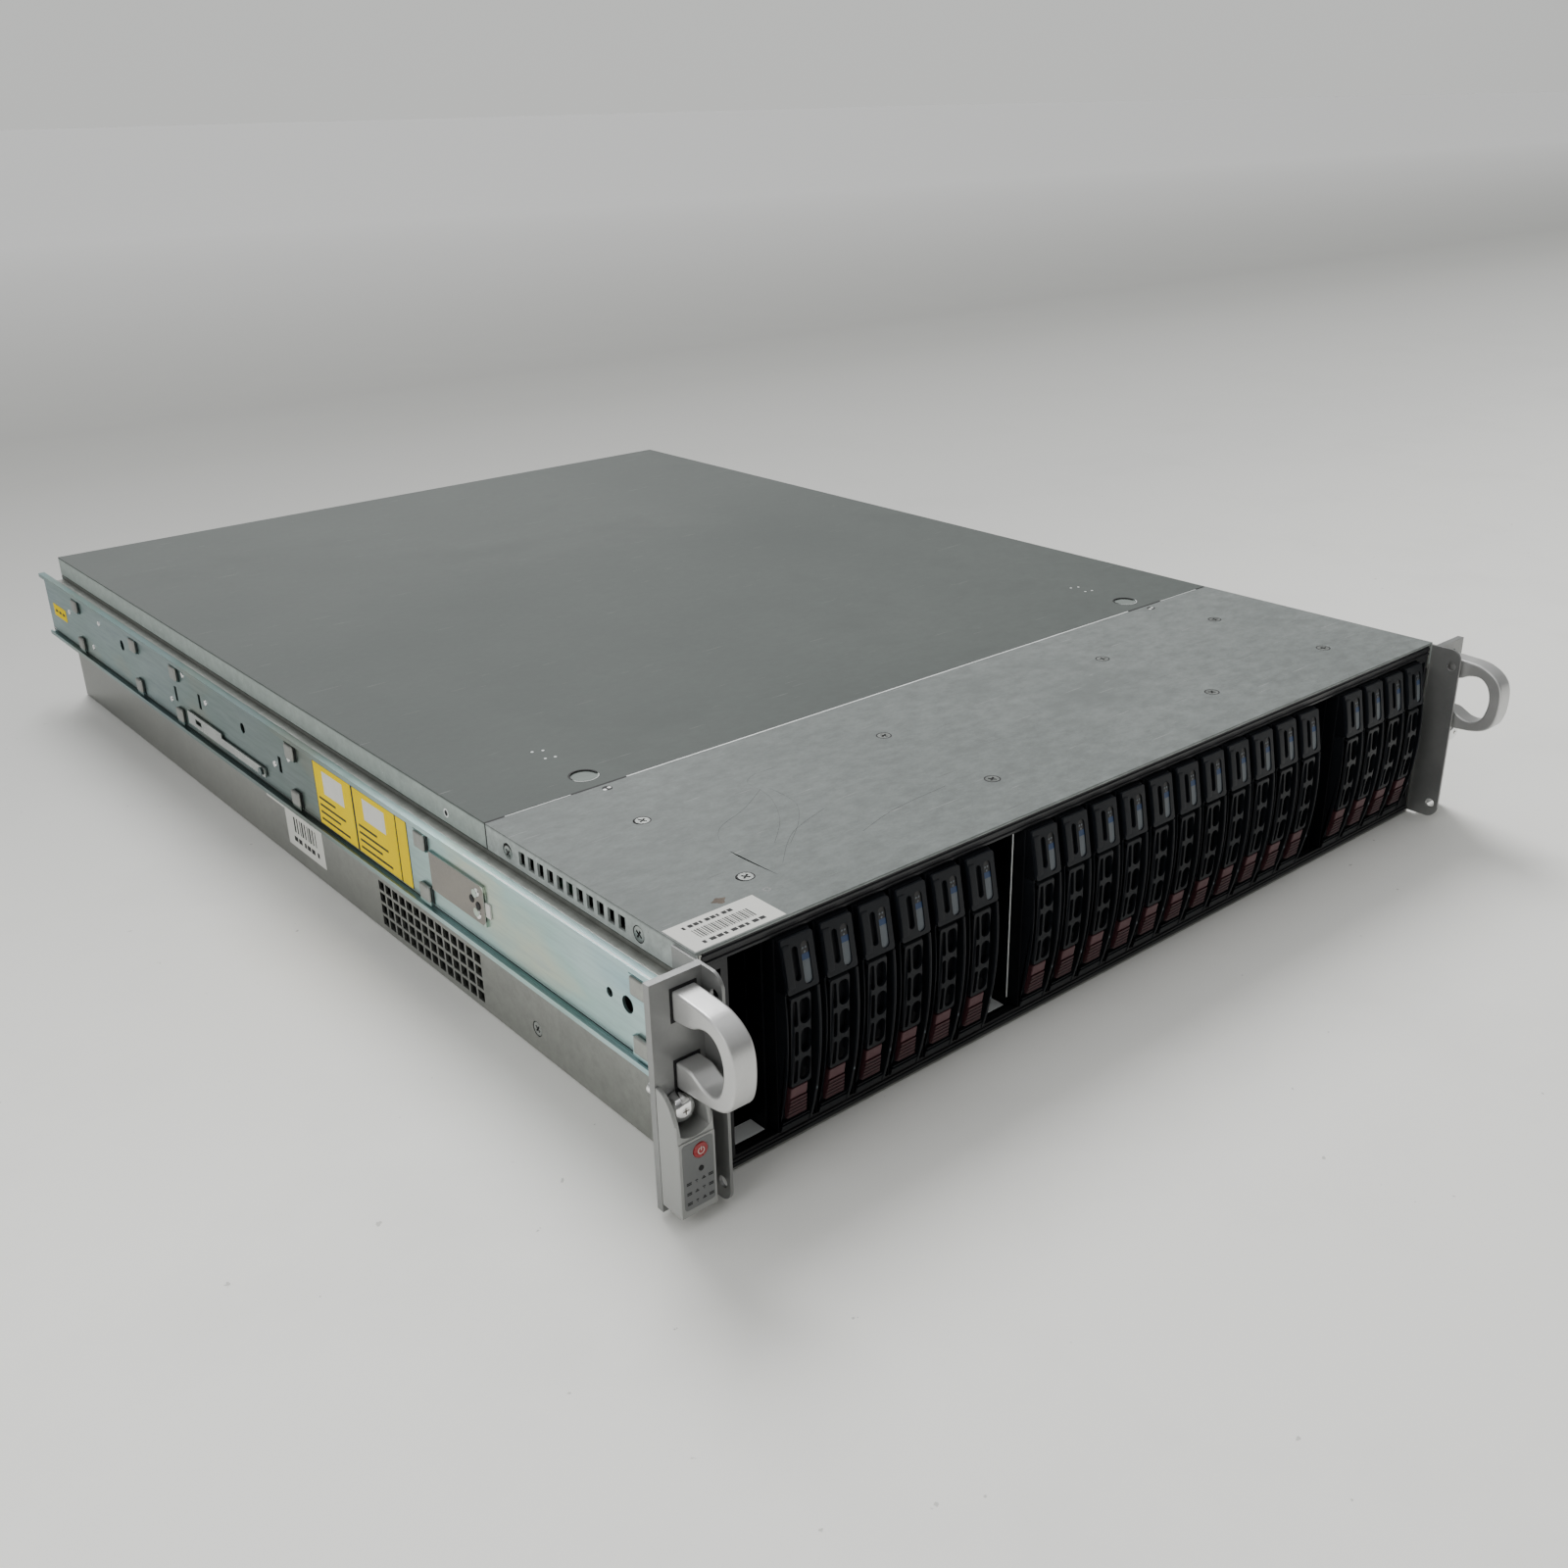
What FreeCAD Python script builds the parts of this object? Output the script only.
import FreeCAD, Part
import os
import re
import Sketcher

# 2U rack server, millimetres.  +X is to the right of someone facing the front, +Y runs from
# the front to the rear and +Z is up.  The origin is the centre of the chassis base.  In the
# calls below every y is a distance behind the chassis front face; locate() adds the offset.

SIZES = {
    # chassis shell
    "body_width": 437.0,
    "body_height": 88.0,
    "body_depth": 640.0,
    "tray_wall": 1.2,
    "cover_wall": 1.0,
    "cover_fit": 0.3,
    "cover_lip": 11.0,
    "front_cover_depth": 129.0,
    "cover_seam": 0.8,
    "standoff_height": 6.8,
    "standoff_radius": 3.0,
    # side vents
    "vent_start": 145.6,
    "vent_pitch": 6.37,
    "vent_row_pitch": 5.8,
    "vent_first_row": 5.2,
    "vent_wide": 5.0,
    "vent_tall": 4.4,
    "vent_columns": 14,
    "vent_rows": 4,
    "lip_slot_start": 38.6,
    "lip_slot_pitch": 6.33,
    "lip_slot_wide": 4.0,
    "lip_slot_tall": 5.6,
    "lip_slot_height": 82.3,
    "lip_slot_count": 11,
    # flat-head screws
    "screw_head_radius": 3.0,
    "screw_head_depth": 0.8,
    "screw_shank_radius": 1.4,
    "screw_shank_length": 3.2,
    "screw_fit": 0.2,
    "top_screw_front": 30.5,
    "top_screw_rear": 91.5,
    "top_screw_outer": 174.5,
    "top_screw_inner_left": 52.0,
    "top_screw_inner_right": 88.0,
    "side_screw_front": 31.0,
    "side_screw_rear": 114.0,
    "side_screw_height": 82.0,
    "low_screw_back": 105.0,
    "low_screw_height": 10.3,
    # drive bays
    "bay_count": 24,
    "bay_pitch": 17.2,
    "bay_floor": 4.8,
    "bay_ceiling": 83.2,
    "cage_wall": 1.0,
    "divider_wall": 0.8,
    "divider_start": 4.0,
    "cage_depth": 116.0,
    "ladder_window": 7.0,
    "ladder_deep": 6.0,
    "ladder_front": 3.0,
    "ladder_rise": 5.0,
    "ladder_pitch": 11.0,
    "ladder_count": 7,
    "divider_front_web": 22.0,
    "divider_rear_web": 12.0,
    "divider_edge_web": 10.0,
    "cage_leg_inner": 180.0,
    "cage_leg_outer": 200.0,
    "cage_leg_deep": 12.0,
    "cage_post_wall": 0.6,
    "cage_post_gap": 0.05,
    "column_edge": 2.4,
    "column_slot_low": 9.0,
    "column_slot_tall": 10.0,
    "column_slot_pitch": 15.0,
    "column_slot_count": 5,
    "frame_setback": 0.2,
    "frame_depth": 3.0,
    "frame_gap": 0.4,
    # drive carriers, measured from the middle of a bay
    "tray_gap": 0.7,
    "carrier_wall": 0.8,
    "carrier_back": 107.0,
    "carrier_bottom": 6.4,
    "carrier_top": 81.9,
    "face_width": 13.8,
    "face_bottom": 6.2,
    "face_top": 82.0,
    "face_bulge": 8.0,
    "face_radius": 138.0,
    "bulge_height": 47.0,
    "face_plate": 1.5,
    "pad_bottom": 62.6,
    "fin_wall": 1.2,
    "lip_height": 3.2,
    "lever_left": 5.9,
    "lever_right": 2.7,
    "lever_bottom": 26.6,
    "lever_skin": 2.0,
    "lever_cheek": 0.7,
    "lever_top_gap": 1.2,
    "lever_room": 0.4,
    "pivot_height": 60.4,
    "pivot_front": 5.8,
    "pivot_radius": 0.8,
    "pivot_boss": 0.7,
    "pivot_lug": 0.6,
    "pivot_lug_half": 2.2,
    "running_gap": 0.3,
    "button_bottom": 12.6,
    "button_gap": 0.6,
    "button_skin": 3.2,
    "button_back": 2.0,
    "guide_wall": 0.6,
    "guide_front": 4.0,
    "grille_pitch": 11.4,
    "grille_tall": 9.6,
    "grille_edge": 1.4,
    "grille_side": 0.9,
    "grille_narrow": 1.6,
    "grille_bar": 1.3,
    "pad_slot_left": 1.6,
    "pad_slot_wide": 1.4,
    "pad_slot_floor": 3.4,
    "pad_slot_rise": 3.0,
    "pad_slot_drop": 4.0,
    "light_left": 1.0,
    "light_slot": 3.4,
    "light_floor": 4.6,
    "light_rise": 1.6,
    "light_drop": 3.0,
    "carrier_floor": 1.6,
    "carrier_start": 0.3,
    "drive_start": 5.0,
    "drive_thick": 9.5,
    "drive_wide": 69.85,
    "drive_long": 100.0,
    # backplane, fans, board
    "backplane_wall": 2.0,
    "connector_long": 33.0,
    "connector_deep": 6.0,
    "connector_wide": 5.0,
    "connector_rise": 12.0,
    "backplane_gap": 0.5,
    "backplane_hole": 8.8,
    "backplane_hole_low": 22.0,
    "backplane_hole_high": 8.0,
    "fan_size": 80.0,
    "fan_depth": 38.0,
    "fan_bore": 38.6,
    "fan_pitch": 92.0,
    "fan_count": 3,
    "fan_back": 236.0,
    "fan_low": 3.0,
    "fan_left": 56.0,
    "fan_bracket": 1.2,
    "fan_bracket_gap": 1.0,
    "fan_bracket_margin": 4.0,
    "stator_deep": 4.0,
    "stator_arm": 3.0,
    "rotor_front": 6.0,
    "hub_radius": 17.0,
    "hub_depth": 24.0,
    "blade_count": 7,
    "blade_reach": 36.8,
    "blade_wall": 1.6,
    "blade_chord": 22.0,
    "blade_pitch": 38.0,
    "board_wide": 330.0,
    "board_long": 304.8,
    "board_wall": 1.6,
    "board_left": 205.0,
    "board_start": 318.0,
    "sink_size": 90.0,
    "sink_height": 58.0,
    "sink_base": 6.0,
    "sink_start": 350.0,
    "sink_gap": 165.0,
    "fin_pitch": 6.0,
    "fin_thick": 1.2,
    "sink_fins": 15,
    "sink_left": 82.0,
    "sink_edge": 2.0,
    "bank_gap": 20.0,
    "socket_wall": 1.0,
    "socket_end": 3.0,
    "module_long": 133.4,
    "module_tall": 30.0,
    "module_thick": 3.2,
    "module_pitch": 9.0,
    "module_count": 16,
    "socket_tall": 7.0,
    "shroud_wall": 1.5,
    "shroud_top": 80.0,
    "shroud_start": 290.0,
    "shroud_end": 500.0,
    "shroud_side_gap": 8.0,
    "standoff_edge": 12.0,
    # rear
    "psu_wide": 76.0,
    "psu_tall": 39.0,
    "psu_long": 300.0,
    "psu_gap": 0.6,
    "psu_low": 2.6,
    "psu_side_gap": 3.0,
    "psu_face": 1.5,
    "psu_wall": 1.0,
    "psu_stack_gap": 2.0,
    "core_side": 6.0,
    "core_front": 8.0,
    "core_rear": 24.0,
    "core_low": 4.0,
    "core_tall": 18.0,
    "grip_left": 37.0,
    "grip_reach": 20.0,
    "grip_bar": 5.0,
    "grip_tall": 30.0,
    "outlet_left": 30.0,
    "outlet_right": 6.0,
    "outlet_low": 6.0,
    "outlet_tall": 1.6,
    "outlet_pitch": 3.6,
    "outlet_count": 8,
    "inlet_left": 5.0,
    "inlet_wall": 1.4,
    "inlet_wide": 27.0,
    "inlet_tall": 20.0,
    "inlet_deep": 16.0,
    "latch_wide": 8.0,
    "latch_right": 6.0,
    "latch_high": 31.0,
    "latch_pad": 2.5,
    "latch_foot_tall": 10.0,
    "latch_foot": 1.4,
    "latch_reach": 9.0,
    "shield_wide": 158.8,
    "shield_tall": 44.5,
    "shield_low": 5.0,
    "shield_left": 32.0,
    "slot_count": 7,
    "slot_pitch": 20.32,
    "slot_wide": 12.0,
    "slot_tall": 76.0,
    "slot_low": 5.0,
    "slot_left": 176.0,
    "slot_margin_low": 3.0,
    "slot_margin_high": 4.0,
    "bracket_margin": 2.6,
    "bracket_wall": 0.9,
    "bracket_tab": 11.0,
    "shield_side": 3.0,
    "shield_under": 8.0,
    "shield_over": 6.0,
    "rear_vent_wide": 3.6,
    "rear_vent_tall": 18.0,
    "rear_vent_pitch": 6.2,
    "rear_vent_rise": 8.0,
    "rear_vent_count": 25,
    "port_wall": 1.0,
    "port_long": 16.6,
    "port_proud": 0.6,
    "port_left": 10.0,
    "serial_wide": 13.6,
    "serial_tall": 6.6,
    "serial_deep": 9.0,
    "serial_low": 4.0,
    "serial_rise": 10.0,
    "network_wide": 15.8,
    "network_tall": 13.4,
    "network_deep": 12.0,
    "network_low": 5.0,
    "network_offset": 20.0,
    "network_pitch": 19.0,
    "shell_port_wide": 31.0,
    "shell_port_tall": 12.4,
    "shell_port_deep": 5.0,
    "shell_port_low": 5.0,
    "shell_port_offset": 62.0,
    "shell_port_pitch": 38.0,
    # ears, handles, control panel
    "ear_width": 479.0,
    "ear_front": 4.5,
    "ear_wall": 3.0,
    "ear_bottom": 2.4,
    "ear_top": 86.8,
    "flange_wall": 1.2,
    "flange_low": 1.0,
    "flange_front": 14.8,
    "flange_back": 11.0,
    "flange_corner": 5.5,
    "flange_hole": 2.2,
    "flange_hole_top": 78.5,
    "flange_hole_low": 8.0,
    "flange_hole_front": 10.8,
    "rack_hole_span": 465.1,
    "rack_hole_height": 41.6,
    "handle_width": 9.0,
    "handle_middle": 226.9,
    "handle_low": 46.4,
    "handle_high": 82.0,
    "handle_arm": 10.8,
    "handle_rim": 6.0,
    "handle_round": 12.0,
    "handle_reach": 35.2,
    "housing_front": 15.2,
    "housing_inner": 225.2,
    "housing_low": 5.6,
    "housing_shoulder": 34.0,
    "housing_top": 50.5,
    "button_radius": 3.0,
    "button_height": 29.1,
    "button_proud": 0.6,
    "reset_radius": 1.0,
    "reset_height": 22.1,
    "buttons_side": 231.2,
    "collar_step": 0.8,
    "pocket_gap": 1.2,
    "pocket_sill": 34.6,
    "housing_wall": 1.8,
    "knob_radius": 3.8,
    "knob_length": 6.0,
    "stud_radius": 2.4,
    "stud_relief": 0.5,
    "stud_end": 8.0,
    # slide rails
    "rail_low": 37.0,
    "rail_high": 75.5,
    "rail_start": 2.0,
    "rail_overhang": 20.0,
    "rail_wall": 1.2,
    "rail_web": 223.0,
    "rail_lip": 226.6,
    "lip_bead": 2.2,
    "inner_start": 13.0,
    "inner_long": 590.0,
    "inner_reach": 222.7,
    "inner_low": 44.0,
    "inner_high": 67.5,
    "lever_start": 330.0,
    "lever_end": 427.0,
    "lever_height": 44.0,
    "lever_tall": 7.0,
    "lever_wall": 1.0,
    "lever_neck": 4.6,
    "lever_taper": 52.0,
    "lever_hole_long": 8.0,
    "lever_hole_tall": 2.6,
    "lever_hole_end": 10.0,
    "lever_pin_back": 334.0,
    "lever_pin_radius": 1.2,
    "lever_pin_head": 2.0,
    "rail_lip_wall": 0.9,
    "rivet_head": 0.6,
    "bump_long": 9.0,
    "bump_tall": 8.0,
    "bump_high": 67.6,
    "bump_low": 43.6,
    "rail_slot_long": 3.2,
    "rail_slot_tall": 8.0,
    "spring_start": 124.0,
    "spring_end": 166.0,
    "spring_low": 48.5,
    "spring_high": 65.5,
    "spring_wall": 1.0,
    "spring_rivet": 1.8,
    "spring_rivet_back": 130.0,
    "spring_rivet_spread": 4.0,
    # recessed grips and vents of the rear cover
    "thumb_recess": 6.0,
    "thumb_recess_side": 167.0,
    "thumb_recess_back": 12.0,
    "thumb_recess_floor": 0.4,
    "screw_hole_deep": 9.0,
}

# Round holes, slots and pressed bumps along a slide rail: how far back each one is.
RAIL_HOLES = {"first": (31.7, 57.4, 3.2), "second": (42.4, 57.4, 1.8), "third": (353.4, 62.0, 2.6),
              "fourth": (523.0, 62.0, 3.0)}
RAIL_SLOTS = {"first": (312.0, 56.0), "second": (409.0, 60.0), "third": (444.0, 55.0)}
RAIL_BUMPS = {"first": 24.0, "second": 173.0, "third": 296.0, "fourth": 440.0, "fifth": 501.0,
              "last": 600.0}
for word, (back, height, radius) in RAIL_HOLES.items():
    SIZES[f"rail_hole_{word}_back"] = back
    SIZES[f"rail_hole_{word}_height"] = height
    SIZES[f"rail_hole_{word}_radius"] = radius
for word, (back, height) in RAIL_SLOTS.items():
    SIZES[f"rail_slot_{word}_back"] = back
    SIZES[f"rail_slot_{word}_height"] = height
for word, back in RAIL_BUMPS.items():
    SIZES[f"rail_bump_{word}_back"] = back

EMPTY_BAYS = (1, 8, 20)
SPLIT_BAY = 2
HALF = "body_width / 2"
LIP_BOTTOM = "(body_height - cover_lip)"
COVER_UNDER = "(body_height - cover_wall)"
WALL_IN = "(body_width / 2 - cover_wall - cover_fit)"
FLOOR = "tray_wall"

DOC = FreeCAD.newDocument("rack_server")
SHEET = DOC.addObject("Spreadsheet::Sheet", "Sizes")
NODES = []
WORD = re.compile(r"[a-z_]+")


def fill_sheet():
    """One row for each driving size: its name, and its value with an alias."""
    for row, (alias, value) in enumerate(SIZES.items(), start=1):
        SHEET.set(f"A{row}", alias)
        SHEET.set(f"B{row}", str(value))
        SHEET.setAlias(f"B{row}", alias)
    DOC.recompute()


def in_sheet(text):
    """The expression with each size's name pointed at its cell."""
    return WORD.sub(lambda m: "Sizes." + m.group(0) if m.group(0) in SIZES else m.group(0), text)


def bind(item, prop, text):
    item.setExpression(prop, in_sheet(str(text)))


def value(text):
    """The number that an expression stands for now."""
    return float(SHEET.evalExpression(in_sheet(str(text))))


def locate(item, x, y, z):
    """Bind a place; y is a distance behind the chassis front face."""
    bind(item, "Placement.Base.x", x)
    bind(item, "Placement.Base.y", f"({y}) - body_depth / 2")
    bind(item, "Placement.Base.z", z)
    return item


def block(x, y, z, name="Block"):
    """A box from three (low, high) pairs of expressions."""
    item = DOC.addObject("Part::Box", name)
    for side, (low, high) in zip(("Length", "Width", "Height"), (x, y, z)):
        bind(item, side, f"({high}) - ({low})")
    return locate(item, x[0], y[0], z[0])


def rod(axis, x, y, z, radius, name="Rod"):
    """A cylinder along one axis; that axis's entry is a (low, high) pair."""
    item = DOC.addObject("Part::Cylinder", name)
    bind(item, "Radius", radius)
    turns = {
        "X": FreeCAD.Rotation(FreeCAD.Vector(0, 1, 0), 90),
        "Y": FreeCAD.Rotation(FreeCAD.Vector(1, 0, 0), -90),
        "Z": FreeCAD.Rotation(),
    }
    item.Placement = FreeCAD.Placement(FreeCAD.Vector(), turns[axis])
    ends = {"X": x, "Y": y, "Z": z}
    low, high = ends[axis]
    bind(item, "Height", f"({high}) - ({low})")
    ends[axis] = low
    return locate(item, ends["X"], ends["Y"], ends["Z"])


def fuse(parts, name="Fused"):
    item = DOC.addObject("Part::MultiFuse", name)
    item.Shapes = parts
    item.Refine = True
    return item


def cut(base, tools, name="Cut"):
    """The base less every tool."""
    item = DOC.addObject("Part::Cut", name)
    item.Base = base
    item.Tool = tools[0] if len(tools) == 1 else fuse(tools, "Tools")
    return item


def common(first, second, name="Common"):
    item = DOC.addObject("Part::Common", name)
    item.Base = first
    item.Tool = second
    return item


def group(parts, name="Group"):
    """Separate solids kept as one object."""
    item = DOC.addObject("Part::Compound", name)
    item.Links = parts
    return item


def moved(part, x="0", y="0", z="0", name="Copy"):
    """A copy of a finished shape, moved by expressions."""
    item = group([part], name)
    for axis, text in zip("xyz", (x, y, z)):
        bind(item, f"Placement.Base.{axis}", text)
    return item


def repeat(part, count, x="0", y="0", z="0"):
    """Copies 0 to count - 1 of a part, one step apart, as a list."""
    return [moved(part, f"{n} * ({x})", f"{n} * ({y})", f"{n} * ({z})") for n in range(count)]


def copies(size):
    """A size that counts things, as a whole number."""
    return int(round(SIZES[size]))


def mirrored(part, name="Mirror"):
    """The same piece on the other side of the X = 0 plane."""
    item = DOC.addObject("Part::Mirroring", name)
    item.Source = part
    item.Normal = FreeCAD.Vector(1, 0, 0)
    item.Base = FreeCAD.Vector(0, 0, 0)
    return item


def node(label, item):
    """Register a finished sub-part under the name of its file."""
    item.Label = label
    NODES.append(item)
    return item


def origin_plane(body, role):
    for feature in body.Origin.OriginFeatures:
        if feature.Role == role:
            return feature
    raise RuntimeError("no plane " + role)


def profile_body(role, corners, length, place, name="Profile"):
    """A PartDesign body: a polygon on one origin plane, padded by a length.

    corners holds (u, v) pairs of expressions; u and v are Y and Z on YZ_Plane, and X and Z
    on XZ_Plane, where the pad runs towards -Y.
    """
    body = DOC.addObject("PartDesign::Body", name)
    sketch = body.newObject("Sketcher::SketchObject", name + "Sketch")
    sketch.AttachmentSupport = [(origin_plane(body, role), "")]
    sketch.MapMode = "FlatFace"
    points = [FreeCAD.Vector(value(u), value(v), 0) for u, v in corners]
    count = len(points)
    for n in range(count):
        sketch.addGeometry(Part.LineSegment(points[n], points[(n + 1) % count]), False)
    for n in range(count):
        sketch.addConstraint(Sketcher.Constraint("Coincident", n, 2, (n + 1) % count, 1))
    for n, (u, v) in enumerate(corners):
        across = sketch.addConstraint(Sketcher.Constraint("DistanceX", -1, 1, n, 1, points[n].x))
        bind(sketch, f"Constraints[{across}]", u)
        up = sketch.addConstraint(Sketcher.Constraint("DistanceY", -1, 1, n, 1, points[n].y))
        bind(sketch, f"Constraints[{up}]", v)
    pad = body.newObject("PartDesign::Pad", name + "Pad")
    pad.Profile = sketch
    bind(pad, "Length", length)
    locate(body, *place)
    DOC.recompute()
    return body


def corner_edges(body, role, corners):
    """Names of the tip's edges that run along the pad at the given (u, v) corners."""
    names = []
    first = 1 if role == "YZ_Plane" else 0
    shape = body.Tip.Shape
    for u, v in corners:
        for number, edge in enumerate(shape.Edges, start=1):
            ends = [vertex.Point for vertex in edge.Vertexes]
            if len(ends) == 2 and all(
                abs(end[first] - value(u)) < 0.01 and abs(end[2] - value(v)) < 0.01 for end in ends
            ):
                names.append(f"Edge{number}")
    return names


def round_edges(body, role, corners, radius, name="Rounded"):
    """Fillet the edges that run along the pad at the given corners."""
    base = (body.Tip, corner_edges(body, role, corners))
    fillet = body.newObject("PartDesign::Fillet", name)
    fillet.Base = base
    bind(fillet, "Radius", radius)
    DOC.recompute()
    return body


# ---------------------------------------------------------------- chassis shell


def side_vents(side):
    """The grid of vent holes through one side wall; side is -1 or 1."""
    hole = block(
        side_span(side, f"{HALF} - tray_wall - 1", f"{HALF} + 1"),
        ("vent_start", "vent_start + vent_wide"),
        ("vent_first_row - vent_tall / 2", "vent_first_row + vent_tall / 2"),
    )
    row = group(repeat(hole, copies("vent_columns"), y="vent_pitch"))
    return repeat(row, copies("vent_rows"), z="vent_row_pitch")


def side_span(side, low, high):
    """An X interval on the right side, or its mirror image on the left."""
    return (low, high) if side > 0 else (f"-({high})", f"-({low})")


def tray_side(side):
    """One side wall: flush below the cover's lip, stepped in behind it."""
    length = ("0", "body_depth")
    lower = block(side_span(side, f"{HALF} - tray_wall", HALF), length, ("0", LIP_BOTTOM))
    shelf = block(side_span(side, f"{WALL_IN} - tray_wall", HALF), length,
                  (f"{LIP_BOTTOM} - tray_wall", LIP_BOTTOM))
    upper = block(side_span(side, f"{WALL_IN} - tray_wall", WALL_IN), length,
                  (f"{LIP_BOTTOM} - tray_wall", f"{COVER_UNDER} - cover_fit"))
    return [lower, shelf, upper]


def lip_window(side):
    """The opening in the stepped wall behind the cover's row of slots."""
    return block(
        side_span(side, f"{WALL_IN} - tray_wall - 1", f"{WALL_IN} + 0.1"),
        ("lip_slot_start - 2", "lip_slot_start + lip_slot_pitch * lip_slot_count + 0.5"),
        ("lip_slot_height - lip_slot_tall / 2 - 0.6", "lip_slot_height + lip_slot_tall / 2"),
    )


def board_holes():
    """(x, y) of the board's standoffs."""
    left = "standoff_edge - board_left"
    right = "board_wide - board_left - standoff_edge"
    middle = f"(({left}) + ({right})) / 2"
    front = "board_start + standoff_edge"
    rear = "board_start + board_long - standoff_edge"
    return [(x, y) for x in (left, middle, right) for y in (front, rear)]


def side_screws():
    """(side, y, z) of the screws in the chassis sides."""
    spots = []
    for side in (-1, 1):
        spots.append((side, "side_screw_front", "side_screw_height"))
        spots.append((side, "side_screw_rear", "side_screw_height"))
        spots.append((side, "low_screw_back", "low_screw_height"))
    return spots


def top_screws():
    """(x, y) of the screws in the front cover's top."""
    across = ("-top_screw_outer", "-top_screw_inner_left", "top_screw_inner_right",
              "top_screw_outer")
    return [(x, y) for x in across for y in ("top_screw_front", "top_screw_rear")]


def side_screw_tools(radius, depth):
    """Cylinders at the side screws, from the wall's outer face inwards."""
    tools = []
    for side, y, z in side_screws():
        tools.append(rod("X", side_span(side, f"{HALF} - ({depth})", HALF), y, z, radius))
    return tools


def chassis_tray():
    floor = block((f"-{HALF}", HALF), ("0", "body_depth"), ("0", FLOOR), "TrayFloor")
    shell = fuse([floor] + tray_side(-1) + tray_side(1), "TrayShell")
    tools = side_vents(-1) + side_vents(1) + [lip_window(-1), lip_window(1)]
    tools += side_screw_tools("screw_shank_radius + screw_fit", "screw_hole_deep")
    for side in (-1, 1):
        tools.append(rod("X", side_span(side, f"{HALF} - tray_wall - 1", f"{HALF} + 1"),
                         "low_screw_back", "low_screw_height", "screw_head_radius + screw_fit"))
    opened = cut(shell, [group(tools)], "TrayOpened")
    posts = [rod("Z", x, y, (f"{FLOOR} - 0.2", f"{FLOOR} + standoff_height"), "standoff_radius")
             for x, y in board_holes()]
    node("chassis_tray", fuse([opened] + posts, "ChassisTray"))


def cover_shell(front, back):
    """A cover's top sheet with a lip down each side."""
    top = block((f"-{HALF}", HALF), (front, back), (COVER_UNDER, "body_height"))
    lips = [block(side_span(side, f"{HALF} - cover_wall", HALF), (front, back),
                  (f"{LIP_BOTTOM} + cover_fit", "body_height")) for side in (-1, 1)]
    return fuse([top] + lips)


def front_top_cover():
    shell = cover_shell("0", "front_cover_depth")
    tools = []
    for side in (-1, 1):
        slot = block(
            side_span(side, f"{HALF} - cover_wall - 0.1", f"{HALF} + 1"),
            ("lip_slot_start", "lip_slot_start + lip_slot_wide"),
            ("lip_slot_height - lip_slot_tall / 2", "lip_slot_height + lip_slot_tall / 2"),
        )
        tools += repeat(slot, copies("lip_slot_count"), y="lip_slot_pitch")
    tools += side_screw_tools("screw_head_radius + screw_fit", "cover_wall + 0.1")
    for x, y in top_screws():
        tools.append(rod("Z", x, y, (f"{COVER_UNDER} - 0.1", "body_height + 1"),
                         "screw_head_radius + screw_fit"))
    node("front_top_cover", cut(shell, [group(tools)], "FrontTopCover"))


def rear_top_cover():
    start = "front_cover_depth + cover_seam"
    shell = cover_shell(start, "body_depth")
    grips = [rod("Z", f"{side} * thumb_recess_side", f"{start} + thumb_recess_back",
                 (f"{COVER_UNDER} + thumb_recess_floor", "body_height + 1"), "thumb_recess")
             for side in (-1, 1)]
    node("rear_top_cover", cut(shell, grips, "RearTopCover"))


def flat_screw(axis, x, y, z, outward):
    """A flush-headed screw whose head lies at its outer end."""
    def piece(radius, start, end):
        if axis == "Z":
            return rod("Z", x, y, (f"{z} - ({end})", f"{z} - ({start})"), radius)
        return rod("X", side_span(outward, f"{x} - ({end})", f"{x} - ({start})"), y, z, radius)

    head = piece("screw_head_radius", "0.1", "screw_head_depth + 0.1")
    shank = piece("screw_shank_radius", "screw_head_depth", "screw_shank_length")
    return fuse([head, shank])


def cover_screws():
    screws = [flat_screw("Z", x, y, "body_height", 1) for x, y in top_screws()]
    screws += [flat_screw("X", HALF, y, z, side) for side, y, z in side_screws()]
    node("cover_screws", group(screws, "CoverScrews"))


# ---------------------------------------------------------------- drive bays

CAGE_SIDE = "(bay_pitch * bay_count / 2)"
CAGE_TOP = "(bay_ceiling + cage_wall)"


def bay_middle(number):
    """X of the middle of a bay; bay 1 is at the left."""
    return f"({number} - (bay_count + 1) / 2) * bay_pitch"


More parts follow.
